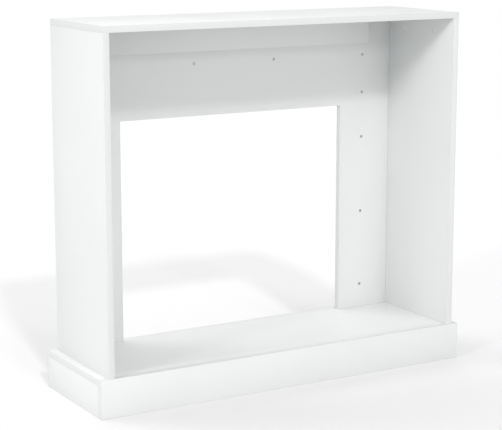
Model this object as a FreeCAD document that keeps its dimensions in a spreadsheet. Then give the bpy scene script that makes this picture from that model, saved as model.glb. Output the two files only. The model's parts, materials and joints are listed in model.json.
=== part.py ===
import FreeCAD, Part
import os
import re
import Sketcher

# A flat-pack fireplace mantel surround in laminated board: an open-backed body of a top board,
# two side panels and a front panel with the firebox opening, standing on a hollow plinth.
# Millimetres. Origin: middle of the footprint, on the floor. +Z up, front towards -Y,
# open rear towards +Y, +X to the right of a person who faces the front.

# The driving dimensions: alias, value, meaning.
SIZES = [
    ("overall_width", 1000, "plinth, end to end"),
    ("overall_depth", 300, "plinth, front to rear"),
    ("overall_height", 880, "floor to the top face"),
    ("board", 15, "thickness of every body and plinth board"),
    ("side_overhang", 20, "plinth beyond the body at each side"),
    ("front_overhang", 15, "plinth beyond the body at the front"),
    ("plinth_height", 91, "floor to the plinth's top face"),
    ("opening_width", 626, "firebox opening"),
    ("opening_height", 541, "firebox opening, above the plinth"),
    ("top_rail_length", 780, "rail behind the front panel, under the top board"),
    ("top_rail_height", 75, "the same rail, down from the top board"),
    ("rail_screw_near", 100, "middle line to an inner screw of the top rail"),
    ("rail_screw_far", 300, "middle line to an outer screw of the top rail"),
    ("trim_board", 12, "thickness of the applied front trim"),
    ("column_line", 380, "middle line of the mantel to that of a pilaster"),
    ("shaft_width", 108, "pilaster shaft"),
    ("block_width", 116, "pilaster block, above the shaft"),
    ("shaft_top", 609, "floor to the joint between shaft and block"),
    ("frieze_height", 210, "frieze board, down from the top board"),
    ("frieze_screw_line", 113, "middle line to a frieze screw"),
    ("shaft_screw_low", 153, "floor to a shaft's lowest screw"),
    ("shaft_screw_middle", 350, "floor to a shaft's middle screw"),
    ("shaft_screw_high", 547, "floor to a shaft's highest screw"),
    ("block_screw_low", 663, "floor to a block's lower screw"),
    ("block_screw_high", 760, "floor to a block's upper screw and to the frieze screws"),
    ("trim_screw_width", 4, "shank of a trim screw and of a rail screw"),
    ("trim_screw_length", 25, "the same screws, over all"),
    ("trim_screw_head", 8, "countersunk head, across"),
    ("trim_screw_sink", 0.3, "head below the panel's face"),
    ("trim_screw_point", 4, "length of the screw's point"),
    ("head_taper", -45, "slope of a countersunk head's side, in degrees"),
    ("point_taper", -22, "slope of the screw's point, in degrees"),
    ("recess_length", 4.6, "cross recess, along one bar"),
    ("recess_width", 1, "cross recess, across one bar"),
    ("recess_depth", 1.4, "cross recess"),
    ("fit_gap", 0.1, "a bore's width beyond what it holds"),
    ("end_gap", 0.5, "a bore's depth beyond what it holds"),
    ("dowel_width", 8, "wooden dowel"),
    ("dowel_length", 30, "wooden dowel"),
    ("dowel_in_face", 11, "dowel's length in a board's face"),
    ("cam_width", 15, "bore of a cam lock"),
    ("cam_depth", 12.5, "bore of a cam lock"),
    ("cam_setback", 34, "centre of a cam lock from the joint"),
    ("cam_cover_width", 17, "cover cap on a cam lock"),
    ("cam_cover_thickness", 1.2, "cover cap on a cam lock"),
    ("bolt_thread_width", 5, "threaded end of a cam bolt"),
    ("bolt_shank_width", 6.8, "shank and head of a cam bolt"),
    ("bolt_neck_width", 4.4, "neck of a cam bolt, behind its head"),
    ("bolt_shank_length", 23, "cam bolt, from the joint to its neck"),
    ("bolt_neck_length", 4, "neck of a cam bolt"),
    ("bolt_head_length", 5, "head of a cam bolt"),
    ("bolt_bore_width", 8, "bore that a cam bolt passes through"),
    ("base_screw_width", 7, "shank of a screw up through the plinth's top"),
    ("base_screw_length", 50, "screw up through the plinth's top, over all"),
    ("base_screw_head", 10, "its head, across"),
    ("base_screw_head_height", 4, "its head"),
    ("socket_width", 4, "driving socket in its head, across"),
    ("socket_depth", 2.5, "driving socket in its head"),
    ("cam_inset", 83, "top cam locks, from the body's front and rear"),
    ("top_dowel_inset", 40, "top dowels, from the body's front and rear"),
    ("header_dowel_line", 300, "middle line to an outer dowel of the front panel's top edge"),
    ("panel_dowel_inset", 60, "end dowels of the front panel, from its top and bottom"),
    ("base_screw_inset", 60, "base screws of a side panel, from its front and rear"),
    ("base_dowel_inset", 110, "base dowels of a side panel, from its front and rear"),
    ("column_dowel_offset", 45, "base dowels of the front panel, from the column line"),
    ("plinth_dowel_low", 14, "floor to the lower corner dowels of the plinth"),
    ("plinth_dowel_high", 62, "floor to the upper corner dowels of the plinth"),
    ("plinth_cam_height", 38, "floor to the corner cam locks of the plinth"),
    ("plinth_cam_line", 40, "middle to a cam lock that holds the plinth's top"),
    ("plinth_dowel_line", 70, "middle to a dowel in an end board's top edge"),
    ("plinth_rear_dowel_line", 420, "middle line to an outer dowel of the rear board"),
    ("plinth_front_dowel_line", 200, "middle line to a dowel of the front board"),
]

# Places and lengths that follow from the driving dimensions.
DERIVED = {
    "side_outer": "overall_width / 2 - side_overhang",
    "side_inner": "side_outer - board",
    "side_middle": "side_outer - board / 2",
    "end_outer": "overall_width / 2",
    "end_inner": "end_outer - board",
    "end_middle": "end_outer - board / 2",
    "rear_face": "overall_depth / 2",
    "rear_board_face": "rear_face - board",
    "plinth_front": "0 - overall_depth / 2",
    "plinth_front_middle": "plinth_front + board / 2",
    "front_board_face": "plinth_front + board",
    "body_front": "plinth_front + front_overhang",
    "panel_middle": "body_front + board / 2",
    "panel_rear": "body_front + board",
    "trim_front": "body_front - trim_board",
    "plinth_under": "plinth_height - board",
    "plinth_top_middle": "plinth_height - board / 2",
    "top_under": "overall_height - board",
    "rail_side": "top_rail_length / 2",
    "rail_under": "top_under - top_rail_height",
    "rail_middle": "top_under - top_rail_height / 2",
    "rail_rear": "panel_rear + board",
    "opening_side": "opening_width / 2",
    "opening_top": "plinth_height + opening_height",
    "frieze_side": "column_line - block_width / 2",
    "dowel_bore": "dowel_width + fit_gap",
    "dowel_in_edge": "dowel_length - dowel_in_face",
    "cam_disc_width": "cam_width - 2 * fit_gap",
    "cam_disc_depth": "cam_depth - end_gap",
    "cam_height": "top_under - cam_setback",
    "screw_cone": "(trim_screw_head - trim_screw_width) / 2",
    "base_screw_in_body": "base_screw_length - board",
}

SHEET = "Sizes"
ALIASES = [alias for alias, size, meaning in SIZES]

# A pad or pocket is expected to change its piece by its sketch's area times its depth. A taper, or
# material that an earlier bore has already taken, makes that less, but never less than this share.
SMALLEST_SHARE = 0.25
LARGEST_SHARE = 1.001

document = FreeCAD.newDocument("fireplace_mantel")
sheet = document.addObject("Spreadsheet::Sheet", SHEET)
for row, (alias, size, meaning) in enumerate(SIZES, start=1):
    sheet.set(f"A{row}", meaning)
    sheet.set(f"B{row}", str(size))
    sheet.setAlias(f"B{row}", alias)
document.recompute()


def expression(words):
    """A formula in the words above, as an expression on the sheet's cells."""
    def cell(match):
        word = match.group()
        if word in DERIVED:
            return "(" + expression(DERIVED[word]) + ")"
        return SHEET + "." + word if word in ALIASES else word
    return re.sub("[a-z_]+", cell, words)


def value(words):
    """The number that a formula gives now."""
    return float(sheet.evalExpression(expression(words)))


def both(place):
    """A place and its mirror image across the middle."""
    return [place, f"0 - ({place})"]


def grid(firsts, seconds):
    """Every pair of a first and a second coordinate."""
    return [(first, second) for first in firsts for second in seconds]


# For each axis: the origin plane that it is normal to, that plane's own axes, and the way it faces.
PLANES = {"x": ("YZ_Plane", "yz", 1), "y": ("XZ_Plane", "xz", -1), "z": ("XY_Plane", "xy", 1)}


class Piece:
    """One sub-part: a body with its corner placed in the mantel's frame, made by pads and pockets.

    Places are formulas in the mantel's frame. travel, such as "+z", is the way a pad grows or a
    drill goes, and mouth is where along that axis it starts.
    """

    def __init__(self, name, corner=("0", "0", "0")):
        self.body = document.addObject("PartDesign::Body", name)
        self.body.Label = name
        self.corner = dict(zip("xyz", corner))
        for axis, place in self.corner.items():
            self.body.setExpression(f"Placement.Base.{axis}", expression(place))

    def local(self, axis, place):
        """A place along one axis, from the piece's own corner."""
        return f"({place}) - ({self.corner[axis]})"

    def pin(self, sketch, geometry, point, axes, place):
        """Holds one point of the sketch at a place."""
        for kind, axis, words in zip(("DistanceX", "DistanceY"), axes, place):
            formula = self.local(axis, words)
            index = sketch.addConstraint(
                Sketcher.Constraint(kind, -1, 1, geometry, point, value(formula)))
            sketch.setExpression(f"Constraints[{index}]", expression(formula))

    def draw_round(self, sketch, axes, centre, width):
        """A circle of the given width about its centre."""
        spot = [value(self.local(axis, words)) for axis, words in zip(axes, centre)]
        circle = Part.Circle(FreeCAD.Vector(*spot, 0), FreeCAD.Vector(0, 0, 1), value(width) / 2)
        geometry = sketch.addGeometry(circle, False)
        self.pin(sketch, geometry, 3, axes, centre)
        index = sketch.addConstraint(Sketcher.Constraint("Diameter", geometry, value(width)))
        sketch.setExpression(f"Constraints[{index}]", expression(width))

    def draw_outline(self, sketch, axes, corners):
        """A closed outline of straight lines from corner to corner."""
        spots = [FreeCAD.Vector(*[value(self.local(axis, words)) for axis, words in zip(axes, corner)], 0)
                 for corner in corners]
        lines = [sketch.addGeometry(Part.LineSegment(start, end), False)
                 for start, end in zip(spots, spots[1:] + spots[:1])]
        for line, following in zip(lines, lines[1:] + lines[:1]):
            sketch.addConstraint(Sketcher.Constraint("Coincident", line, 2, following, 1))
        for line, corner in zip(lines, corners):
            self.pin(sketch, line, 1, axes, corner)

    def work(self, kind, travel, mouth, depth, rounds, outlines, taper):
        """One sketch and the pad or pocket made from it, checked by the volume it changes."""
        axis = travel[1]
        plane_role, axes, facing = PLANES[axis]
        plane = next(item for item in self.body.Origin.OriginFeatures if item.Role == plane_role)
        before = 0 if self.body.Shape.isNull() else self.body.Shape.Volume
        sketch = self.body.newObject("Sketcher::SketchObject", "Sketch")
        sketch.AttachmentSupport = [(plane, "")]
        sketch.MapMode = "FlatFace"
        offset = f"{facing} * ({self.local(axis, mouth)})"
        sketch.setExpression("AttachmentOffset.Base.z", expression(offset))
        for centre, width in rounds:
            self.draw_round(sketch, axes, centre, width)
        for corners in outlines:
            self.draw_outline(sketch, axes, corners)
        feature = self.body.newObject(f"PartDesign::{kind}", kind)
        feature.Profile = sketch
        feature.setExpression("Length", expression(depth))
        feature.setExpression("TaperAngle", expression(taper))
        along_normal = (travel[0] == "+") == (facing > 0)
        feature.Reversed = along_normal == (kind == "Pocket")
        document.recompute()
        whole = Part.makeFace(sketch.Shape.Wires, "Part::FaceMakerBullseye").Area * value(depth)
        change = self.body.Shape.Volume - before
        gained = change if kind == "Pad" else -change
        if not SMALLEST_SHARE * whole < gained < LARGEST_SHARE * whole:
            raise RuntimeError(f"{self.body.Label}: {kind} {travel} changed {gained:.1f} of {whole:.1f} mm3")

    def add(self, travel, mouth, depth, rounds=(), outlines=(), taper="0"):
        self.work("Pad", travel, mouth, depth, rounds, outlines, taper)

    def cut(self, travel, mouth, depth, rounds=(), outlines=(), taper="0"):
        self.work("Pocket", travel, mouth, depth, rounds, outlines, taper)


def alike(centres, width):
    """A circle of the same width at every centre."""
    return [(centre, width) for centre in centres]


def rectangle(low, high):
    """The four corners of a rectangle between two opposite ones."""
    return [low, (high[0], low[1]), high, (low[0], high[1])]


def bars(centres, length, width):
    """A rectangle, length by width, about each centre."""
    return [rectangle((f"{u} - {length} / 2", f"{v} - {width} / 2"),
                      (f"{u} + {length} / 2", f"{v} + {width} / 2"))
            for u, v in centres]


def board(name, low, high):
    """A plain rectangular board between two opposite corners."""
    piece = Piece(name, low)
    piece.add("+z", low[2], f"({high[2]}) - ({low[2]})", outlines=[rectangle(low[:2], high[:2])])
    return piece


def sided(side, place):
    """A place on the right-hand side, or its mirror image on the left."""
    return place if side == "right" else f"0 - ({place})"


def outward(side):
    return "+x" if side == "right" else "-x"


def inward(side):
    return "-x" if side == "right" else "+x"


def span(side, inner, outer):
    """The lower and higher X of something that runs from inner to outer on one side."""
    return (inner, outer) if side == "right" else (f"0 - ({outer})", f"0 - ({inner})")


# ---- where the fixings are ----

CAM_YS = ["body_front + cam_inset", "rear_face - cam_inset"]
TOP_DOWEL_YS = ["body_front + top_dowel_inset", "rear_face - top_dowel_inset"]
HEADER_DOWEL_XS = ["0"] + both("header_dowel_line")
PANEL_DOWEL_ZS = ["plinth_height + panel_dowel_inset", "(plinth_height + top_under) / 2",
                  "top_under - panel_dowel_inset"]
BASE_SCREW_YS = ["body_front + base_screw_inset", "rear_face - base_screw_inset"]
BASE_DOWEL_YS = ["body_front + base_dowel_inset", "rear_face - base_dowel_inset"]
COLUMN_DOWEL_XS = both("column_line - column_dowel_offset") + both("column_line + column_dowel_offset")
CORNER_DOWEL_ZS = ["plinth_dowel_low", "plinth_dowel_high"]
PLINTH_CAM_YS = both("plinth_cam_line")
PLINTH_DOWEL_YS = both("plinth_dowel_line")
REAR_DOWEL_XS = ["0"] + both("plinth_rear_dowel_line")
FRONT_DOWEL_XS = both("plinth_front_dowel_line")

CORNER_CAMS = grid(["front_board_face + cam_setback", "rear_board_face - cam_setback"], ["plinth_cam_height"])
TOP_BOARD_CAMS = grid(PLINTH_CAM_YS, ["plinth_under - cam_setback"])
SIDE_BASE_SCREWS = grid(both("side_middle"), BASE_SCREW_YS)
COLUMN_BASE_SCREWS = grid(both("column_line"), ["panel_middle"])
SIDE_BASE_DOWELS = grid(both("side_middle"), BASE_DOWEL_YS)
COLUMN_BASE_DOWELS = grid(COLUMN_DOWEL_XS, ["panel_middle"])

TOP_DOWELS = grid(both("side_middle"), TOP_DOWEL_YS) + grid(HEADER_DOWEL_XS, ["panel_middle"])
TOP_BOLTS = grid(both("side_middle"), CAM_YS)
END_TOP_BOLTS = grid(both("end_middle"), PLINTH_CAM_YS)
CORNER_BOLTS = grid(both("end_middle"), ["plinth_cam_height"])
CROSS_BOARD_DOWELS = grid(both("end_middle") + ["0"], CORNER_DOWEL_ZS)
FRONT_EDGE_DOWELS = grid(FRONT_DOWEL_XS, ["plinth_front_middle"])
PLINTH_TOP_DOWELS = grid(both("end_middle") + ["0"], PLINTH_DOWEL_YS) + FRONT_EDGE_DOWELS
REAR_EDGE_DOWELS = grid(REAR_DOWEL_XS, ["plinth_top_middle"])

SHAFT_SCREW_ZS = ["shaft_screw_low", "shaft_screw_middle", "shaft_screw_high"]
BLOCK_SCREW_ZS = ["block_screw_low", "block_screw_high"]
COLUMN_TRIM_SCREWS = grid(both("column_line"), SHAFT_SCREW_ZS + BLOCK_SCREW_ZS)
FRIEZE_SCREWS = grid(both("frieze_screw_line"), ["block_screw_high"])
TRIM_SCREWS = COLUMN_TRIM_SCREWS + FRIEZE_SCREWS
RAIL_SCREWS = grid(both("rail_screw_near") + both("rail_screw_far"), ["rail_middle"])

FACE_BORE = "dowel_in_face + end_gap"
EDGE_BORE = "dowel_in_edge + end_gap"
SCREW_BORE = "trim_screw_length + trim_screw_sink + end_gap - board"


def dowel_bores(piece, travel, mouth, centres, depth):
    piece.cut(travel, mouth, depth, alike(centres, "dowel_bore"))


# ---- the body ----

def top_board():
    """Lies on the side panels, flush with their outer faces."""
    piece = board("top_board", ("0 - side_outer", "body_front", "top_under"),
                  ("side_outer", "rear_face", "overall_height"))
    dowel_bores(piece, "+z", "top_under", TOP_DOWELS, FACE_BORE)
    piece.cut("+z", "top_under", "dowel_in_face", alike(TOP_BOLTS, "bolt_thread_width + fit_gap"))


def side_panel(side):
    """Stands on the plinth and carries the top board."""
    low_x, high_x = span(side, "side_inner", "side_outer")
    piece = board(f"{side}_side_panel", (low_x, "body_front", "plinth_height"),
                  (high_x, "rear_face", "top_under"))
    middle = [sided(side, "side_middle")]
    face = sided(side, "side_inner")
    piece.cut(outward(side), face, "cam_depth", alike(grid(CAM_YS, ["cam_height"]), "cam_width"))
    piece.cut("-z", "top_under", "cam_setback", alike(grid(middle, CAM_YS), "bolt_bore_width"))
    dowel_bores(piece, "-z", "top_under", grid(middle, TOP_DOWEL_YS), EDGE_BORE)
    dowel_bores(piece, outward(side), face, grid(["panel_middle"], PANEL_DOWEL_ZS), FACE_BORE)
    dowel_bores(piece, "+z", "plinth_height", grid(middle, BASE_DOWEL_YS), EDGE_BORE)
    piece.cut("+z", "plinth_height", "base_screw_in_body + end_gap",
              alike(grid(middle, BASE_SCREW_YS), "base_screw_width + fit_gap"))


def front_panel():
    """One board with the firebox opening cut up from its lower edge."""
    piece = Piece("front_panel", ("0 - side_inner", "body_front", "plinth_height"))
    outline = [
        ("0 - side_inner", "plinth_height"),
        ("0 - opening_side", "plinth_height"),
        ("0 - opening_side", "opening_top"),
        ("opening_side", "opening_top"),
        ("opening_side", "plinth_height"),
        ("side_inner", "plinth_height"),
        ("side_inner", "top_under"),
        ("0 - side_inner", "top_under"),
    ]
    piece.add("+y", "body_front", "board", outlines=[outline])
    for side in ("left", "right"):
        dowel_bores(piece, inward(side), sided(side, "side_inner"),
                    grid(["panel_middle"], PANEL_DOWEL_ZS), EDGE_BORE)
    dowel_bores(piece, "-z", "top_under", grid(HEADER_DOWEL_XS, ["panel_middle"]), EDGE_BORE)
    dowel_bores(piece, "+z", "plinth_height", COLUMN_BASE_DOWELS, EDGE_BORE)
    piece.cut("+z", "plinth_height", "base_screw_in_body + end_gap",
              alike(COLUMN_BASE_SCREWS, "base_screw_width + fit_gap"))
    for travel, face, screws in (("-y", "panel_rear", TRIM_SCREWS), ("+y", "body_front", RAIL_SCREWS)):
        piece.cut(travel, face, "board", alike(screws, "trim_screw_width + 2 * fit_gap"))
        piece.cut(travel, face, "screw_cone + trim_screw_sink",
                  alike(screws, "trim_screw_head + 2 * (trim_screw_sink + fit_gap)"), taper="head_taper")


def top_rail():
    """Stiffens the corner between the front panel and the top board. It stops short of the side panels."""
    piece = board("top_rail", ("0 - rail_side", "panel_rear", "rail_under"),
                  ("rail_side", "rail_rear", "top_under"))
    piece.cut("+y", "panel_rear", SCREW_BORE, alike(RAIL_SCREWS, "trim_screw_width + fit_gap"))


# ---- the applied trim on the front ----

def trim(name, low, high, screws):
    """A trim board against the front panel, with blind holes for its screws."""
    piece = board(name, (low[0], "trim_front", low[1]), (high[0], "body_front", high[1]))
    piece.cut("-y", "body_front", SCREW_BORE, alike(screws, "trim_screw_width + fit_gap"))


def pilaster(side):
    """A shaft and the block above it, about one column line."""
    line = [sided(side, "column_line")]
    low_x, high_x = span(side, "column_line - shaft_width / 2", "column_line + shaft_width / 2")
    trim(f"{side}_pilaster_shaft", (low_x, "plinth_height"), (high_x, "shaft_top"),
         grid(line, SHAFT_SCREW_ZS))
    low_x, high_x = span(side, "column_line - block_width / 2", "column_line + block_width / 2")
    trim(f"{side}_pilaster_block", (low_x, "shaft_top"), (high_x, "top_under"),
         grid(line, BLOCK_SCREW_ZS))


def frieze_board():
    """Fills the front between the two blocks, above the opening."""
    trim("frieze_board", ("0 - frieze_side", "top_under - frieze_height"),
         ("frieze_side", "top_under"), FRIEZE_SCREWS)


# ---- the plinth ----

def plinth_top_board():
    """Covers the front and end boards, and meets the inside of the rear board."""
    piece = board("plinth_top_board", ("0 - end_outer", "plinth_front", "plinth_under"),
                  ("end_outer", "rear_board_face", "plinth_height"))
    screws = SIDE_BASE_SCREWS + COLUMN_BASE_SCREWS
    piece.cut("+z", "plinth_under", "board", alike(screws, "base_screw_width + fit_gap"))
    piece.cut("+z", "plinth_under", "base_screw_head_height", alike(screws, "base_screw_head + fit_gap"))
    dowel_bores(piece, "-z", "plinth_height", SIDE_BASE_DOWELS + COLUMN_BASE_DOWELS, FACE_BORE)
    dowel_bores(piece, "+z", "plinth_under", PLINTH_TOP_DOWELS, FACE_BORE)
    dowel_bores(piece, "-y", "rear_board_face", REAR_EDGE_DOWELS, EDGE_BORE)
    piece.cut("+z", "plinth_under", "dowel_in_face", alike(END_TOP_BOLTS, "bolt_thread_width + fit_gap"))


def drill_for_cross_boards(piece, travel, mouth):
    """Dowel bores for the ends and the stiffener, and thread bores for the corner bolts."""
    dowel_bores(piece, travel, mouth, CROSS_BOARD_DOWELS, FACE_BORE)
    piece.cut(travel, mouth, "dowel_in_face", alike(CORNER_BOLTS, "bolt_thread_width + fit_gap"))


def plinth_rear_board():
    """Full height and full width: the side panels' rear corners stand on it."""
    piece = board("plinth_rear_board", ("0 - end_outer", "rear_board_face", "0"),
                  ("end_outer", "rear_face", "plinth_height"))
    drill_for_cross_boards(piece, "+y", "rear_board_face")
    dowel_bores(piece, "+y", "rear_board_face", REAR_EDGE_DOWELS, FACE_BORE)


def plinth_front_board():
    """Full width, under the plinth's top board."""
    piece = board("plinth_front_board", ("0 - end_outer", "plinth_front", "0"),
                  ("end_outer", "front_board_face", "plinth_under"))
    drill_for_cross_boards(piece, "-y", "front_board_face")
    dowel_bores(piece, "-z", "plinth_under", FRONT_EDGE_DOWELS, EDGE_BORE)


def cross_board(name, low_x, high_x, middle):
    """A board from the front board to the rear board, dowelled to both and to the top."""
    piece = board(name, (low_x, "front_board_face", "0"), (high_x, "rear_board_face", "plinth_under"))
    for travel, mouth in (("+y", "front_board_face"), ("-y", "rear_board_face")):
        dowel_bores(piece, travel, mouth, grid([middle], CORNER_DOWEL_ZS), EDGE_BORE)
    dowel_bores(piece, "-z", "plinth_under", grid([middle], PLINTH_DOWEL_YS), EDGE_BORE)
    return piece


def plinth_end(side):
    """An end of the plinth: a cross board with cam locks at its corners and under the top."""
    low_x, high_x = span(side, "end_inner", "end_outer")
    middle = sided(side, "end_middle")
    piece = cross_board(f"{side}_plinth_end", low_x, high_x, middle)
    cams = CORNER_CAMS + TOP_BOARD_CAMS
    piece.cut(outward(side), sided(side, "end_inner"), "cam_depth", alike(cams, "cam_width"))
    for travel, mouth in (("+y", "front_board_face"), ("-y", "rear_board_face")):
        piece.cut(travel, mouth, "cam_setback", alike([(middle, "plinth_cam_height")], "bolt_bore_width"))
    piece.cut("-z", "plinth_under", "cam_setback", alike(grid([middle], PLINTH_CAM_YS), "bolt_bore_width"))


# ---- the fixings: each node is a group of separate solids ----

def countersunk_screws(name, travel, face, centres):
    """Screws through the front panel, with their heads just below the face that they go in at."""
    piece = Piece(name)
    sign = travel[0]
    head = f"{face} {sign} trim_screw_sink"
    point = f"{head} {sign} (trim_screw_length - trim_screw_point)"
    piece.add(travel, head, "screw_cone", alike(centres, "trim_screw_head"), taper="head_taper")
    piece.add(travel, f"{head} {sign} screw_cone", "trim_screw_length - screw_cone - trim_screw_point",
              alike(centres, "trim_screw_width"))
    piece.add(travel, point, "trim_screw_point", alike(centres, "trim_screw_width"), taper="point_taper")
    for size in (("recess_length", "recess_width"), ("recess_width", "recess_length")):
        piece.cut(travel, head, "recess_depth", outlines=bars(centres, *size))


def cam_locks(name, face, cams, bores):
    """Cam discs let into the inner faces of two boards, each bored for its bolt's head."""
    piece = Piece(name)
    for side in ("left", "right"):
        piece.add(outward(side), sided(side, face), "cam_disc_depth", alike(cams, "cam_disc_width"))
        piece.cut(outward(side), sided(side, face), "recess_depth",
                  outlines=bars(cams, "cam_disc_width / 2", "recess_width"))
    for travel, mouth, centres in bores:
        piece.cut(travel, mouth, "cam_width", alike(centres, "bolt_shank_width + 2 * fit_gap"))


def top_cam_locks():
    bores = [("-z", "cam_height + cam_width / 2", TOP_BOLTS)]
    cam_locks("top_cam_locks", "side_inner", grid(CAM_YS, ["cam_height"]), bores)


def plinth_cam_locks():
    bores = [
        ("-z", "plinth_under - cam_setback + cam_width / 2", END_TOP_BOLTS),
        ("-y", "rear_board_face - cam_setback + cam_width / 2", CORNER_BOLTS),
        ("+y", "front_board_face + cam_setback - cam_width / 2", CORNER_BOLTS),
    ]
    cam_locks("plinth_cam_locks", "end_inner", CORNER_CAMS + TOP_BOARD_CAMS, bores)


def opposite(travel):
    return ("-" if travel[0] == "+" else "+") + travel[1]


def cam_bolts(name, groups):
    """Bolts with a threaded end in one board and a necked head inside a cam in the other."""
    piece = Piece(name)
    for travel, joint, centres in groups:
        sign = travel[0]
        piece.add(opposite(travel), joint, "dowel_in_face - end_gap", alike(centres, "bolt_thread_width"))
        piece.add(travel, joint, "bolt_shank_length", alike(centres, "bolt_shank_width"))
        piece.add(travel, f"{joint} {sign} bolt_shank_length", "bolt_neck_length",
                  alike(centres, "bolt_neck_width"))
        piece.add(travel, f"{joint} {sign} (bolt_shank_length + bolt_neck_length)", "bolt_head_length",
                  alike(centres, "bolt_shank_width"))


def top_cam_covers():
    """Cover caps on the cam locks that show, proud of the side panels' inner faces."""
    piece = Piece("top_cam_covers")
    for side in ("left", "right"):
        piece.add(inward(side), sided(side, "side_inner"), "cam_cover_thickness",
                  alike(grid(CAM_YS, ["cam_height"]), "cam_cover_width"))


def dowels(name, groups):
    """Wooden dowels, each part in a face and the rest in an edge; travel goes into the edge."""
    piece = Piece(name)
    for travel, joint, centres in groups:
        back = "-" if travel[0] == "+" else "+"
        piece.add(travel, f"{joint} {back} dowel_in_face", "dowel_length", alike(centres, "dowel_width"))


def base_screws():
    """Long screws up through the plinth's top board into the side panels and the front panel."""
    piece = Piece("base_screws")
    centres = SIDE_BASE_SCREWS + COLUMN_BASE_SCREWS
    piece.add("+z", "plinth_under", "base_screw_head_height", alike(centres, "base_screw_head"))
    piece.add("+z", "plinth_under + base_screw_head_height", "base_screw_length - base_screw_head_height",
              alike(centres, "base_screw_width"))
    piece.cut("+z", "plinth_under", "socket_depth", alike(centres, "socket_width"))


# ---- the mantel ----

top_board()
for side in ("left", "right"):
    side_panel(side)
    pilaster(side)
    plinth_end(side)
front_panel()
top_rail()
frieze_board()
plinth_top_board()
plinth_rear_board()
plinth_front_board()
cross_board("plinth_stiffener", "0 - board / 2", "board / 2", "0")

countersunk_screws("trim_screws", "-y", "panel_rear", TRIM_SCREWS)
countersunk_screws("top_rail_screws", "+y", "body_front", RAIL_SCREWS)
top_cam_locks()
top_cam_covers()
plinth_cam_locks()
cam_bolts("top_cam_bolts", [("-z", "top_under", TOP_BOLTS)])
cam_bolts("plinth_cam_bolts", [
    ("-z", "plinth_under", END_TOP_BOLTS),
    ("-y", "rear_board_face", CORNER_BOLTS),
    ("+y", "front_board_face", CORNER_BOLTS),
])
base_screws()
dowels("top_dowels", [("-z", "top_under", TOP_DOWELS)])
dowels("front_panel_dowels", [
    (inward(side), sided(side, "side_inner"), grid(["panel_middle"], PANEL_DOWEL_ZS))
    for side in ("left", "right")
])
dowels("base_dowels", [("+z", "plinth_height", SIDE_BASE_DOWELS + COLUMN_BASE_DOWELS)])
dowels("plinth_dowels", [
    ("-z", "plinth_under", PLINTH_TOP_DOWELS),
    ("-y", "rear_board_face", CROSS_BOARD_DOWELS + REAR_EDGE_DOWELS),
    ("+y", "front_board_face", CROSS_BOARD_DOWELS),
])

# ---- check the document, then write one file for each sub-part ----

document.recompute()
for item in document.Objects:
    if "Invalid" in item.State or "Error" in item.State:
        raise RuntimeError(f"{item.Label} failed: {item.State}")

os.makedirs("parts", exist_ok=True)
for item in document.Objects:
    if item.TypeId == "PartDesign::Body":
        if item.Shape.isNull() or not item.Shape.isValid():
            raise RuntimeError(f"{item.Label} has no valid shape")
        item.Shape.exportStep(f"parts/{item.Label}.step")
        print(f"{item.Label}: {len(item.Shape.Solids)} solid, {item.Shape.Volume / 1000:.1f} cm3")
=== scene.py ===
import json
from math import cos, pi, radians, sin, tau

import bmesh
import bpy
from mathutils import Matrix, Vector

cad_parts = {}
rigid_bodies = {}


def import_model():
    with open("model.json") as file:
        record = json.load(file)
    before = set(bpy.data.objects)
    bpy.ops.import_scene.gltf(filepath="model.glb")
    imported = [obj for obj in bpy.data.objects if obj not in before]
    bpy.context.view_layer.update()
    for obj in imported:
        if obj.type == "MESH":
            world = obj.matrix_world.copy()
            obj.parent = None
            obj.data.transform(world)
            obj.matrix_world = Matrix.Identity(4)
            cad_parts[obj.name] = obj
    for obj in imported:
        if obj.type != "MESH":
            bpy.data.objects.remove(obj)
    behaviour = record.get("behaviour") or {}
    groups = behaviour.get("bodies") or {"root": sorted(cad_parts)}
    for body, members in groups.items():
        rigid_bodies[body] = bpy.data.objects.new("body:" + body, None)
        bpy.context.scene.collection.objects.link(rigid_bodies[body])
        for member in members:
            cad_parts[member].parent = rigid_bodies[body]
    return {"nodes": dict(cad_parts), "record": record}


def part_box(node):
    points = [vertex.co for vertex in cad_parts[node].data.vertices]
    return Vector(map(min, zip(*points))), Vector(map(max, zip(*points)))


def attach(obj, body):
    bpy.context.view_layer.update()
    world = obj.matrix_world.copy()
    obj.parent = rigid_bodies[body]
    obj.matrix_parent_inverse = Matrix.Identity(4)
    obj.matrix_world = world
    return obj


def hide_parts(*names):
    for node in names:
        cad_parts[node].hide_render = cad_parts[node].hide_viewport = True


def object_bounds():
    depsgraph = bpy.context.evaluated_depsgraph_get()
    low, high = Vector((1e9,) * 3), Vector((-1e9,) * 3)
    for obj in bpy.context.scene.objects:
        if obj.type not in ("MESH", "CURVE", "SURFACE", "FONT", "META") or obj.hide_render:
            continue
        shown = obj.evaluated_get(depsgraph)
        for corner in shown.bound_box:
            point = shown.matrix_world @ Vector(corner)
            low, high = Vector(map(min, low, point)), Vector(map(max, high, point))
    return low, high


# A flat-pack fireplace mantel surround in white laminated board, seen from its open rear.
# Metres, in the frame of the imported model: +Z up, front towards -Y, open rear towards +Y.

MM = 0.001

# Each laminated board is a core faced on both sides, with plastic banding glued round its edges.
ARRIS = 0.3 * MM
BAND_THICKNESS = 0.8 * MM
GLUE_LINE = 0.12 * MM
GLUE_LINE_DEPTH = 0.03 * MM
TRIM_ARRIS = 1.6 * MM

# The trim screws: countersunk wood screws with a cross recess.
SCREW_ROOT = 1.3 * MM
SCREW_THREAD = 0.65 * MM
SCREW_PITCH = 1.8 * MM
SCREW_POINT = 4 * MM
RECESS_LENGTH = 4.4 * MM
RECESS_WIDTH = 0.9 * MM
RECESS_DEPTH = 1.6 * MM
COUNTERSINK_CLEARANCE = 0.05 * MM
COUNTERSINK_NECK = 2.1 * MM
COUNTERSINK_DEPTH = 16 * MM
CUTTER_OVERRUN = 1 * MM

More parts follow.
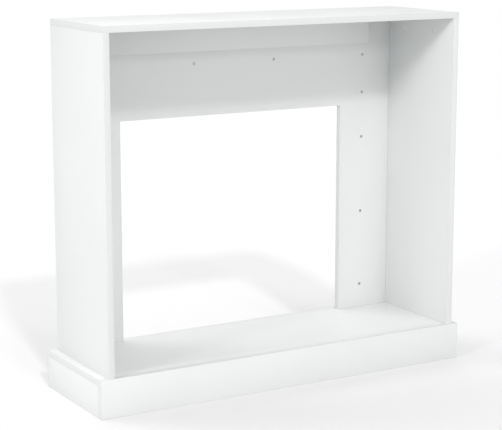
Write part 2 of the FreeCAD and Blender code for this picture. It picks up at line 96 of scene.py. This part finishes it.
# The cam covers: how much of the thickness is straight rim, and the rest is dome.
COVER_RIM_SHARE = 0.55

# The camera looks at the rear from the right-hand end, a little from above.
CAMERA_PLACE = (1.910, 3.211, 1.119)
CAMERA_HEADING = radians(149.56)
CAMERA_PITCH = radians(10.96)
CAMERA_LENS = 112.0
SENSOR_WIDTH = 36.0

# The studio: soft even light from all round, with a few large panels.
SKY_COLOUR = (0.985, 1.0, 1.0, 1)
SKY_STRENGTH = 0.56
PANEL_COLOUR = (1.035, 1.0, 1.003)
# name, azimuth, elevation and apparent width in degrees, strength in watts per square metre
PANEL_LIGHTS = [
    ("rear_panel", 168, 38, 5, 0.74),
    ("low_rear_panel", 180, 19, 4, 0.19),
    ("high_rear_panel", 180, 55, 30, 0.33),
    ("end_panel", 110, 16, 9, 0.71),
    ("corner_panel", 45, 40, 30, 0.50),
    ("front_panel_light", 0, 60, 50, 0.52),
    ("overhead_panel", 0, 90, 60, 0.50),
]

BOARDS = ["top_board", "top_rail", "left_side_panel", "right_side_panel", "plinth_top_board"]
FLOOR_BOARDS = ["plinth_rear_board", "plinth_front_board", "left_plinth_end", "right_plinth_end",
                "plinth_stiffener"]
TRIM_BOARDS = ["left_pilaster_shaft", "right_pilaster_shaft", "left_pilaster_block",
               "right_pilaster_block", "frieze_board"]

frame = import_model()
cad_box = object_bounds()


# ---- node graphs ----

class Graph:
    """A material's node tree, with short calls for the nodes used here."""

    def __init__(self, name):
        self.material = bpy.data.materials.new(name)
        self.material.use_nodes = True
        self.tree = self.material.node_tree
        self.shader = self.tree.nodes["Principled BSDF"]
        self.place = self.tree.nodes.new("ShaderNodeTexCoord").outputs["Object"]

    def node(self, kind, inputs=None, **settings):
        made = self.tree.nodes.new("ShaderNode" + kind)
        for name, setting in settings.items():
            setattr(made, name, setting)
        for name, source in (inputs or {}).items():
            self.feed(made.inputs[name], source)
        return made

    def feed(self, socket, source):
        """Links a socket to another node's output, or sets it to a plain value."""
        if isinstance(source, bpy.types.NodeSocket):
            self.tree.links.new(source, socket)
        else:
            socket.default_value = source

    def stretched(self, scale):
        """Object coordinates in metres, stretched along each axis."""
        return self.node("Mapping", {"Vector": self.place, "Scale": scale}).outputs["Vector"]

    def noise(self, scale, detail=3.0, roughness=0.5, place=None):
        inputs = {"Vector": place or self.place, "Scale": scale, "Detail": detail, "Roughness": roughness}
        return self.node("TexNoise", inputs).outputs["Fac"]

    def cells(self, scale, place=None, output="Distance"):
        inputs = {"Vector": place or self.place, "Scale": scale}
        return self.node("TexVoronoi", inputs).outputs[output]

    def spread(self, value, low, high, to_low, to_high):
        """Maps low..high of a value to to_low..to_high, and holds it at the ends."""
        inputs = {"Value": value, "From Min": low, "From Max": high, "To Min": to_low, "To Max": to_high}
        return self.node("MapRange", inputs).outputs["Result"]

    def math(self, operation, first, second):
        made = self.node("Math", operation=operation)
        self.feed(made.inputs[0], first)
        self.feed(made.inputs[1], second)
        return made.outputs[0]

    def mix(self, factor, first, second):
        """A colour between two others."""
        made = self.node("Mix", data_type="RGBA")
        self.feed(made.inputs["Factor"], factor)
        self.feed(made.inputs["A"], first)
        self.feed(made.inputs["B"], second)
        return made.outputs["Result"]

    def bump(self, height, distance, strength=1.0, under=None):
        inputs = {"Height": height, "Distance": distance, "Strength": strength}
        if under is not None:
            inputs["Normal"] = under
        return self.node("Bump", inputs).outputs["Normal"]

    def finish(self, **inputs):
        """Feeds the shader: base_color becomes Base Color, and so on."""
        for name, source in inputs.items():
            self.feed(self.shader.inputs[name.replace("_", " ").title().replace("Ior", "IOR")], source)
        return self.material


def grey(level, warmth=0.0):
    """A near-white, warmer above 0 and cooler below."""
    return (level * (1 + warmth), level, level * (1 - warmth), 1)


def cool_white(level):
    """The laminate's white, which leans a little to green-blue."""
    return (level * 0.98, level, level * 0.997, 1)


# ---- materials ----

def laminate():
    """Melamine-faced board: a fine pearl texture, cloudy gloss and a few faint rub marks."""
    graph = Graph("white_laminate")
    clouds = graph.noise(5.0, 4.0)
    pearl = graph.noise(1100.0, 2.0)
    flecks = graph.noise(2600.0, 1.0)
    rubs = graph.noise(1.0, 6.0, 0.65, graph.stretched((9.0, 30.0, 22.0)))
    colour = graph.mix(graph.spread(clouds, 0.3, 0.7, 0, 1), cool_white(0.765), cool_white(0.785))
    colour = graph.mix(graph.spread(flecks, 0.62, 0.8, 0, 0.35), colour, cool_white(0.71))
    rough = graph.spread(clouds, 0.3, 0.7, 0.38, 0.46)
    rough = graph.math("ADD", rough, graph.spread(rubs, 0.58, 0.75, 0, 0.12))
    normal = graph.bump(pearl, 0.05 * MM, 0.6)
    normal = graph.bump(clouds, 0.3 * MM, 0.35, normal)
    return graph.finish(base_color=colour, roughness=rough, normal=normal, specular_ior_level=0.4)


def edge_band():
    """Plastic banding: a shade duller than the laminate, with fine milling marks and rubbed arrises."""
    graph = Graph("white_edge_band")
    marks = graph.noise(240.0, 3.0, 0.6, graph.stretched((1.0, 1.0, 0.25)))
    scuffs = graph.noise(38.0, 5.0, 0.7)
    colour = graph.mix(graph.spread(marks, 0.35, 0.65, 0, 1), cool_white(0.71), cool_white(0.73))
    colour = graph.mix(graph.spread(scuffs, 0.66, 0.8, 0, 0.5), colour, cool_white(0.63))
    rough = graph.spread(scuffs, 0.4, 0.75, 0.33, 0.55)
    normal = graph.bump(marks, 0.04 * MM, 0.6)
    return graph.finish(base_color=colour, roughness=rough, normal=normal, specular_ior_level=0.45)


def glue_line():
    """The thin dull line between banding and laminate."""
    graph = Graph("glue_line")
    gaps = graph.noise(300.0, 4.0, 0.7)
    colour = graph.mix(graph.spread(gaps, 0.35, 0.65, 0, 1), grey(0.62, 0.003), grey(0.70, 0.002))
    normal = graph.bump(gaps, 0.03 * MM, 0.5)
    return graph.finish(base_color=colour, roughness=0.75, normal=normal)


def chipboard():
    """A raw sawn edge: pressed chips of many browns with dark gaps between them."""
    graph = Graph("raw_chipboard")
    lying = graph.stretched((1.0, 1.0, 2.6))
    chips = graph.cells(420.0, lying, "Color")
    shade = graph.node("SeparateColor", {"Color": chips}).outputs["Red"]
    gaps = graph.cells(420.0, lying)
    dust = graph.noise(900.0, 3.0)
    colour = graph.mix(shade, (0.50, 0.35, 0.20, 1), (0.74, 0.58, 0.38, 1))
    colour = graph.mix(graph.spread(gaps, 0.35, 0.6, 0, 0.7), colour, (0.26, 0.17, 0.09, 1))
    colour = graph.mix(graph.spread(dust, 0.5, 0.7, 0, 0.3), colour, (0.82, 0.72, 0.56, 1))
    normal = graph.bump(gaps, 0.5 * MM, 0.8)
    return graph.finish(base_color=colour, roughness=0.9, normal=graph.bump(dust, 0.2 * MM, 0.5, normal))


def trim_foil():
    """Foil-wrapped fibreboard: smooth satin over a slight long-wave ripple."""
    graph = Graph("white_trim_foil")
    ripple = graph.noise(60.0, 2.0, 0.4, graph.stretched((1.0, 1.0, 0.2)))
    grain = graph.noise(1500.0, 2.0, 0.5, graph.stretched((1.0, 1.0, 0.12)))
    clouds = graph.noise(7.0, 4.0)
    colour = graph.mix(graph.spread(clouds, 0.3, 0.7, 0, 1), grey(0.77, -0.002), grey(0.79, 0.001))
    colour = graph.mix(graph.spread(grain, 0.6, 0.8, 0, 0.25), colour, grey(0.71))
    rough = graph.spread(clouds, 0.3, 0.7, 0.34, 0.42)
    normal = graph.bump(ripple, 0.12 * MM, 0.5)
    normal = graph.bump(grain, 0.03 * MM, 0.5, normal)
    return graph.finish(base_color=colour, roughness=rough, normal=normal, specular_ior_level=0.45)


def zinc_plate():
    """Bright zinc plating: bluish to straw patches over drawn steel, dulled in places."""
    graph = Graph("zinc_plated_steel")
    patches = graph.noise(320.0, 3.0)
    drawn = graph.noise(2400.0, 2.0)
    colour = graph.mix(graph.spread(patches, 0.35, 0.65, 0, 1), (0.53, 0.54, 0.56, 1), (0.62, 0.61, 0.58, 1))
    rough = graph.spread(patches, 0.3, 0.7, 0.30, 0.5)
    normal = graph.bump(drawn, 0.02 * MM, 0.5)
    return graph.finish(base_color=colour, metallic=1.0, roughness=rough, normal=normal)


def cast_zinc():
    """Die-cast zinc alloy, as cast: grey, mottled and dull."""
    graph = Graph("cast_zinc")
    mottle = graph.cells(900.0)
    stain = graph.noise(200.0, 4.0)
    colour = graph.mix(graph.spread(stain, 0.3, 0.7, 0, 1), (0.36, 0.36, 0.37, 1), (0.52, 0.52, 0.52, 1))
    rough = graph.spread(mottle, 0.0, 0.8, 0.45, 0.65)
    normal = graph.bump(mottle, 0.05 * MM, 0.6)
    return graph.finish(base_color=colour, metallic=0.9, roughness=rough, normal=normal)


def cover_plastic():
    """Moulded polyethylene: softly translucent white with a fine spark-eroded texture."""
    graph = Graph("moulded_polyethylene")
    erosion = graph.noise(2200.0, 3.0)
    clouds = graph.noise(60.0, 3.0)
    colour = graph.mix(graph.spread(clouds, 0.3, 0.7, 0, 1), grey(0.73, 0.001), grey(0.755, 0.003))
    return graph.finish(base_color=colour, roughness=graph.spread(clouds, 0.3, 0.7, 0.4, 0.5),
                        subsurface_weight=0.1, subsurface_scale=0.6 * MM,
                        normal=graph.bump(erosion, 0.03 * MM, 0.6))


def beech():
    """Turned beech: short dark flecks on a fine pink-brown grain."""
    graph = Graph("turned_beech")
    grain = graph.noise(700.0, 4.0, 0.6, graph.stretched((1.0, 1.0, 0.12)))
    flecks = graph.cells(900.0, graph.stretched((1.0, 1.0, 0.3)))
    colour = graph.mix(graph.spread(grain, 0.3, 0.7, 0, 1), (0.62, 0.43, 0.25, 1), (0.76, 0.58, 0.38, 1))
    colour = graph.mix(graph.spread(flecks, 0.0, 0.12, 0.6, 0), colour, (0.40, 0.24, 0.12, 1))
    return graph.finish(base_color=colour, roughness=0.7, normal=graph.bump(grain, 0.08 * MM, 0.6))


def studio_floor():
    """Pale seamless floor with a very faint paper tooth."""
    graph = Graph("studio_floor")
    tooth = graph.noise(400.0, 3.0)
    drift = graph.noise(0.8, 2.0)
    colour = graph.mix(graph.spread(drift, 0.3, 0.7, 0, 1), grey(0.795, -0.002), grey(0.805, -0.002))
    return graph.finish(base_color=colour, roughness=0.85, specular_ior_level=0.1,
                        normal=graph.bump(tooth, 0.05 * MM, 0.3))


LAMINATE = laminate()
EDGE_BAND = edge_band()
GLUE = glue_line()
CHIPBOARD = chipboard()
TRIM_FOIL = trim_foil()
ZINC_PLATE = zinc_plate()
CAST_ZINC = cast_zinc()
COVER_PLASTIC = cover_plastic()
BEECH = beech()

# The order in which a board's own faces use them.
BOARD_MATERIALS = [LAMINATE, EDGE_BAND, GLUE, CHIPBOARD]
FACE, BAND, LINE, RAW = range(4)


# ---- mesh helpers ----

def solids(node):
    """The box of each separate solid in a CAD node."""
    mesh = bmesh.new()
    mesh.from_mesh(frame["nodes"][node].data)
    bmesh.ops.remove_doubles(mesh, verts=mesh.verts, dist=0.001 * MM)
    waiting = set(mesh.verts)
    boxes = []
    while waiting:
        island = [waiting.pop()]
        for vertex in island:
            linked = {edge.other_vert(vertex) for edge in vertex.link_edges} & waiting
            waiting -= linked
            island.extend(linked)
        low = Vector([min(vertex.co[i] for vertex in island) for i in range(3)])
        high = Vector([max(vertex.co[i] for vertex in island) for i in range(3)])
        boxes.append((low, high))
    mesh.free()
    return boxes


def middle(box):
    """The middle of a (lowest corner, highest corner) box."""
    return (box[0] + box[1]) / 2


def piece_from(mesh, node, materials):
    """Makes the object that stands for a CAD node."""
    data = bpy.data.meshes.new(node + "_finished")
    bmesh.ops.recalc_face_normals(mesh, faces=mesh.faces)
    mesh.to_mesh(data)
    mesh.free()
    for material in materials:
        data.materials.append(material)
    piece = bpy.data.objects.new(node + "_finished", data)
    bpy.context.scene.collection.objects.link(piece)
    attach(piece, "root")
    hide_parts(node)
    return piece


def prism(outline, axis, low, high):
    """A closed prism: an outline of (first, second) places, run along one axis."""
    first, second = [i for i in range(3) if i != axis]
    mesh = bmesh.new()
    rings = []
    for depth in (low, high):
        ring = []
        for place in outline:
            spot = Vector()
            spot[first], spot[second], spot[axis] = place[0], place[1], depth
            ring.append(mesh.verts.new(spot))
        rings.append(ring)
        mesh.faces.new(ring)
    count = len(outline)
    for i in range(count):
        j = (i + 1) % count
        mesh.faces.new((rings[0][i], rings[0][j], rings[1][j], rings[1][i]))
    bmesh.ops.recalc_face_normals(mesh, faces=mesh.faces)
    return mesh


def thin_axis(low, high):
    """The axis along which a board is thinnest."""
    sizes = list(high - low)
    return sizes.index(min(sizes))


def rectangle(low, high, axis):
    """A box's outline, seen along one axis."""
    first, second = [i for i in range(3) if i != axis]
    return [(low[first], low[second]), (high[first], low[second]),
            (high[first], high[second]), (low[first], high[second])]


def soften(mesh, radius, segments=3):
    """Rounds every edge of a prism a little, as sanding or a trimming cutter leaves it."""
    bmesh.ops.bevel(mesh, geom=mesh.edges[:], offset=radius, segments=segments, profile=0.5,
                    affect="EDGES", clamp_overlap=True)


def caps(mesh, axis):
    """The two large faces of a softened prism."""
    facing = [face for face in mesh.faces if abs(face.normal[axis]) > 0.999]
    return sorted(facing, key=lambda face: face.calc_area())[-2:]


def band_edges(mesh, axis):
    """Marks off the banding round both large faces with a fine glue line."""
    mesh.normal_update()
    large = caps(mesh, axis)
    for face in mesh.faces:
        face.material_index = BAND
    for face in large:
        steps = [(BAND_THICKNESS - ARRIS, 0, BAND), (GLUE_LINE / 2, -GLUE_LINE_DEPTH, LINE),
                 (GLUE_LINE / 2, GLUE_LINE_DEPTH, LINE)]
        for thickness, depth, index in steps:
            made = bmesh.ops.inset_region(mesh, faces=[face], thickness=thickness, depth=depth,
                                          use_even_offset=True, use_boundary=True)
            for border in made["faces"]:
                border.material_index = index
        face.material_index = FACE


def leave_raw_below(mesh):
    """A board's lower edge, where it stands on the floor, has no banding."""
    for face in mesh.faces:
        if face.normal.z < -0.95:
            face.material_index = RAW


def laminated(node, outline=None, raw_below=False):
    """A laminated board in place of a CAD node."""
    low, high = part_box(node)
    axis = thin_axis(low, high)
    mesh = prism(outline or rectangle(low, high, axis), axis, low[axis], high[axis])
    soften(mesh, ARRIS)
    band_edges(mesh, axis)
    if raw_below:
        leave_raw_below(mesh)
    return piece_from(mesh, node, BOARD_MATERIALS)


def turned(mesh, profile, centre, axis, steps=40, index=0):
    """A closed turned shape: (distance along the axis, radius) pairs, from its foot to its top."""
    toward = Vector(axis).normalized()
    side = toward.orthogonal().normalized()
    other = toward.cross(side)
    rings = []
    for distance, radius in profile:
        spot = Vector(centre) + toward * distance
        if radius == 0:
            rings.append([mesh.verts.new(spot)])
        else:
            angles = [tau * i / steps for i in range(steps)]
            rings.append([mesh.verts.new(spot + radius * (side * cos(a) + other * sin(a))) for a in angles])
    for lower, upper in zip(rings, rings[1:]):
        for i in range(steps):
            j = (i + 1) % steps
            corners = [lower[i % len(lower)], lower[j % len(lower)]]
            corners += [upper[j % len(upper)], upper[i % len(upper)]]
            mesh.faces.new(list(dict.fromkeys(corners))).material_index = index


def cut(piece, cutter_mesh):
    """Takes one mesh away from a piece."""
    data = bpy.data.meshes.new("cutter")
    bmesh.ops.recalc_face_normals(cutter_mesh, faces=cutter_mesh.faces)
    cutter_mesh.to_mesh(data)
    cutter_mesh.free()
    for material in piece.data.materials:
        data.materials.append(material)
    cutter = bpy.data.objects.new("cutter", data)
    bpy.context.scene.collection.objects.link(cutter)
    modifier = piece.modifiers.new("cut", "BOOLEAN")
    modifier.object = cutter
    modifier.operation = "DIFFERENCE"
    modifier.solver = "EXACT"
    bpy.context.view_layer.update()
    result = bpy.data.meshes.new_from_object(piece.evaluated_get(bpy.context.evaluated_depsgraph_get()))
    piece.modifiers.clear()
    piece.data = result
    bpy.data.objects.remove(cutter)


def shade_smooth_arrises(piece, angle=radians(35)):
    """Smooth shading across the rounded edges only."""
    piece.data.shade_smooth()
    mesh = bmesh.new()
    mesh.from_mesh(piece.data)
    for edge in mesh.edges:
        edge.smooth = len(edge.link_faces) == 2 and edge.calc_face_angle() < angle
    mesh.to_mesh(piece.data)
    mesh.free()


# ---- the boards ----

def opening_outline():
    """The front panel's outline in X and Z: a portal, open at its foot."""
    low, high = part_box("front_panel")
    corners = [vertex.co for vertex in frame["nodes"]["front_panel"].data.vertices]
    slack = 0.01 * MM
    side = min(abs(spot.x) for spot in corners if spot.z < low.z + slack)
    head = min(spot.z for spot in corners if abs(spot.x) < side + slack and spot.z > low.z + slack)
    return [(low.x, low.z), (-side, low.z), (-side, head), (side, head), (side, low.z), (high.x, low.z),
            (high.x, high.z), (low.x, high.z)]


def countersinks():
    """A cutter for each trim screw: a cone for its head and a bore for its shank, from the rear."""
    mesh = bmesh.new()
    panel_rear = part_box("front_panel")[1].y
    for box in solids("trim_screws"):
        centre = middle(box)
        head = (box[1].x - box[0].x) / 2
        mouth = head + COUNTERSINK_CLEARANCE
        profile = [(-COUNTERSINK_DEPTH, 0), (-COUNTERSINK_DEPTH, COUNTERSINK_NECK),
                   (COUNTERSINK_NECK - mouth, COUNTERSINK_NECK), (0, mouth),
                   (CUTTER_OVERRUN, mouth), (CUTTER_OVERRUN, 0)]
        turned(mesh, profile, (centre.x, panel_rear, centre.z), (0, 1, 0), index=RAW)
    return mesh


def bores(nodes, axis):
    """A cutter round each round solid of some nodes, a hair wider than it, along one axis."""
    mesh = bmesh.new()
    toward = Vector([float(i == axis) for i in range(3)])
    for low, high in [box for node in nodes for box in solids(node)]:
        radius = max(high[i] - low[i] for i in range(3) if i != axis) / 2 + 0.1 * MM
        centre = (low + high) / 2
        length = high[axis] - low[axis]
        half = length / 2 + 0.02 * MM
        profile = [(-half, 0), (-half, radius), (half, radius), (half, 0)]
        turned(mesh, profile, centre, toward, index=RAW)
    return mesh


def trim_board(node):
    """A foil-wrapped trim board with softly rounded edges."""
    low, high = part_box(node)
    axis = thin_axis(low, high)
    mesh = prism(rectangle(low, high, axis), axis, low[axis], high[axis])
    soften(mesh, TRIM_ARRIS, 4)
    return piece_from(mesh, node, [TRIM_FOIL])


# ---- the fixings that show ----

def screw_rings(head, length):
    """(distance from the head's face, core radius, thread height) along a screw, from its point up."""
    cone = head - SCREW_ROOT
    step = SCREW_PITCH / 6
    rings = []
    distance = -length + step
    while distance < -cone - SCREW_PITCH:
        share = min(1, (distance + length) / SCREW_POINT)
        rings.append((distance, SCREW_ROOT * share, SCREW_THREAD * share))
        distance += step
    neck = [(-cone - SCREW_PITCH / 2, SCREW_ROOT), (-cone, SCREW_ROOT)]
    rim = [(-0.45 * MM, head - 0.1 * MM), (-0.3 * MM, head), (-0.12 * MM, head - 0.03 * MM),
           (0, head - 0.35 * MM)]
    return rings + [(distance, radius, 0) for distance, radius in neck + rim]


def screw(mesh, centre, toward, head, length, steps=28):
    """One closed skin from the point, up the thread to the countersunk head."""
    side = toward.orthogonal().normalized()
    other = toward.cross(side)
    layers = []
    for distance, core, thread in screw_rings(head, length):
        layer = []
        for i in range(steps):
            angle = tau * i / steps
            wave = abs((distance / SCREW_PITCH - i / steps) % 1.0 - 0.5) * 2
            radius = core + thread * max(0.0, wave * 2 - 1)
            outward = side * cos(angle) + other * sin(angle)
            layer.append(mesh.verts.new(centre + toward * distance + outward * radius))
        layers.append(layer)
    tip = mesh.verts.new(centre - toward * length)
    for i in range(steps):
        j = (i + 1) % steps
        mesh.faces.new((tip, layers[0][j], layers[0][i]))
        for lower, upper in zip(layers, layers[1:]):
            mesh.faces.new((lower[i], lower[j], upper[j], upper[i]))
    mesh.faces.new(layers[-1])


def cross_recess(mesh, centre, toward):
    """A cutter for a cross recess that narrows towards its bottom."""
    side = toward.orthogonal().normalized()
    other = toward.cross(side)
    layers = []
    for distance, share in ((CUTTER_OVERRUN / 2, 1.1), (-RECESS_DEPTH, 0.4)):
        far = RECESS_LENGTH / 2 * share
        near = RECESS_WIDTH / 2 * (0.5 + share / 2)
        layer = []
        for turn in range(4):
            for u, v in ((near, near), (near, far), (-near, far)):
                for _ in range(turn):
                    u, v = -v, u
                layer.append(mesh.verts.new(centre + toward * distance + side * u + other * v))
        layers.append(layer)
    bottom, top = layers
    count = len(bottom)
    for i in range(count):
        j = (i + 1) % count
        mesh.faces.new((bottom[i], bottom[j], top[j], top[i]))
    mesh.faces.new(bottom)
    mesh.faces.new(top)


def trim_screws():
    """Countersunk screws with a cross recess and a coarse thread."""
    mesh = bmesh.new()
    recesses = bmesh.new()
    out = Vector((0, 1, 0))
    for low, high in solids("trim_screws"):
        centre = Vector(((low.x + high.x) / 2, high.y, (low.z + high.z) / 2))
        screw(mesh, centre, out, (high.x - low.x) / 2, high.y - low.y)
        cross_recess(recesses, centre, out)
    cut(piece_from(mesh, "trim_screws", [ZINC_PLATE]), recesses)


def cover_caps():
    """Press-in caps over the cam locks: a shallow dome with a rounded rim."""
    mesh = bmesh.new()
    for low, high in solids("top_cam_covers"):
        centre = middle((low, high))
        facing = Vector((-1 if centre.x > 0 else 1, 0, 0))
        radius = (high.z - low.z) / 2
        thickness = high.x - low.x
        seat = centre - facing * thickness / 2
        rim_height = thickness * COVER_RIM_SHARE
        rim = [(rim_height * sin(angle), radius - rim_height * (1 - cos(angle)))
               for angle in [pi / 2 * i / 5 for i in range(6)]]
        dome = [(rim_height + (thickness - rim_height) * (1 - share ** 2), (radius - thickness) * share)
                for share in (0.8, 0.6, 0.4, 0.2)]
        turned(mesh, [(0, 0)] + rim + dome + [(thickness, 0)], seat, facing, 56)
    piece_from(mesh, "top_cam_covers", [COVER_PLASTIC])


# ---- the object ----

def build_boards():
    """Every board of the mantel, in place of its CAD node."""
    for node in BOARDS:
        laminated(node)
    for node in FLOOR_BOARDS:
        laminated(node, raw_below=True)
    laminated("front_panel", opening_outline())
    for node in TRIM_BOARDS:
        trim_board(node)


def drill_boards():
    """The holes that show: countersinks, cam lock bores in the plinth and base screw heads."""
    cut(bpy.data.objects["front_panel_finished"], countersinks())
    for side in ("left", "right"):
        cut(bpy.data.objects[f"{side}_plinth_end_finished"], bores(["plinth_cam_locks"], 0))
    cut(bpy.data.objects["plinth_top_board_finished"], bores(["base_screws"], 2))


def finish_hidden_fixings():
    """The CAD fixings keep their shapes and get their materials."""
    materials = {
        "zinc_steel": ZINC_PLATE,
        "zinc_alloy": CAST_ZINC,
        "beech": BEECH,
    }
    slots = {part["node"]: part["material_slot"] for part in frame["record"]["subparts"]}
    for node, thing in frame["nodes"].items():
        if slots[node] in materials and not thing.hide_render:
            thing.data.materials.clear()
            thing.data.materials.append(materials[slots[node]])


build_boards()
drill_boards()
trim_screws()
cover_caps()
finish_hidden_fixings()
for thing in bpy.data.objects:
    if thing.name.endswith("_finished"):
        shade_smooth_arrises(thing)


# ---- the studio ----

def floor():
    """A wide pale floor, level with the underside of the plinth."""
    half = 40.0
    mesh = bmesh.new()
    corners = [mesh.verts.new((x, y, cad_box[0].z - 0.1 * MM))
               for x, y in ((-half, -half), (half, -half), (half, half), (-half, half))]
    mesh.faces.new(corners)
    data = bpy.data.meshes.new("floor")
    mesh.to_mesh(data)
    mesh.free()
    data.materials.append(studio_floor())
    thing = bpy.data.objects.new("floor", data)
    bpy.context.scene.collection.objects.link(thing)


def world():
    """Even pale light from all round."""
    sky = bpy.data.worlds.new("studio")
    sky.use_nodes = True
    background = sky.node_tree.nodes["Background"]
    background.inputs["Color"].default_value = SKY_COLOUR
    background.inputs["Strength"].default_value = SKY_STRENGTH
    bpy.context.scene.world = sky


def from_direction(azimuth, elevation):
    """The way back to a light: azimuth 0 is in front of the mantel and 90 at its right-hand end."""
    around, up = radians(azimuth), radians(elevation)
    return Vector((sin(around) * cos(up), -cos(around) * cos(up), sin(up)))


def panel_light(name, azimuth, elevation, width, strength):
    """A large far-off softbox, as a soft-edged sun."""
    data = bpy.data.lights.new(name, "SUN")
    data.energy = strength
    data.angle = radians(width)
    data.color = PANEL_COLOUR
    thing = bpy.data.objects.new(name, data)
    thing.rotation_mode = "QUATERNION"
    thing.rotation_quaternion = from_direction(azimuth, elevation).to_track_quat("Z", "Y")
    bpy.context.scene.collection.objects.link(thing)


def camera():
    """At the rear and the right-hand end, tilted down a little."""
    data = bpy.data.cameras.new("camera")
    data.lens = CAMERA_LENS
    data.sensor_width = SENSOR_WIDTH
    thing = bpy.data.objects.new("camera", data)
    thing.location = CAMERA_PLACE
    thing.rotation_euler = (pi / 2 - CAMERA_PITCH, 0, CAMERA_HEADING)
    bpy.context.scene.collection.objects.link(thing)
    bpy.context.scene.camera = thing


floor()
world()
for settings in PANEL_LIGHTS:
    panel_light(*settings)
camera()
bpy.context.scene.view_settings.view_transform = "Standard"
